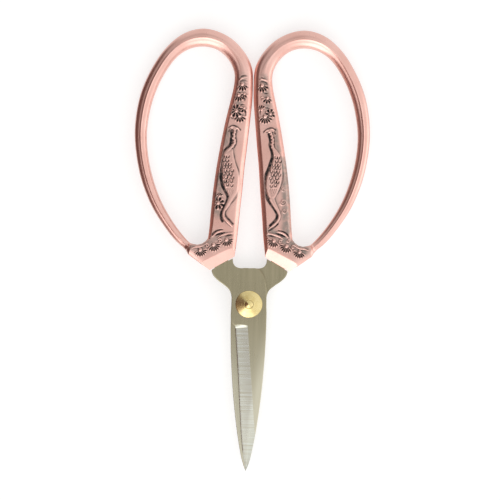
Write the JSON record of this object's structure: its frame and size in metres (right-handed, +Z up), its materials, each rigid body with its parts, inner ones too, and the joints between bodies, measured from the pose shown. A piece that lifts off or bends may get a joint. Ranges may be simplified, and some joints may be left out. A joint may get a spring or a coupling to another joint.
{
  "type": "floral snips",
  "caption": "Small straight-bladed scissors for cutting flowers, with flat cast loop handles carrying raised floral relief and a riveted pivot.",
  "frame": {"origin": "on the pivot's axis at the level of the surface the snips lie on, which is the rivet's lower end face", "axes": "+Y from the pivot to the finger loops, -Y to the blade tips, +Z up off the surface, the front blade's side; +X to the right handle"},
  "size_m": [0.0826, 0.155, 0.008],
  "materials": {
    "handle_metal": "satin antique rose copper plating with dark patina in the recesses",
    "blade_steel": "lengthwise brushed stainless steel with a ground bevel",
    "pivot_brass": "bright turned brass"
  },
  "bodies": {
    "rear_half": {"rear_blade": "blade_steel", "right_handle": "handle_metal", "pivot_rivet": "pivot_brass", "front_washer": "pivot_brass", "rear_washer": "pivot_brass"},
    "front_half": {"front_blade": "blade_steel", "left_handle": "handle_metal"}
  },
  "joints": [
    {"name": "pivot", "type": "hinge", "parent": "rear_half", "child": "front_half", "pos_m": [0, 0, 0.004], "axis": [0, 0, 1], "range_deg": [0, 105]}
  ]
}
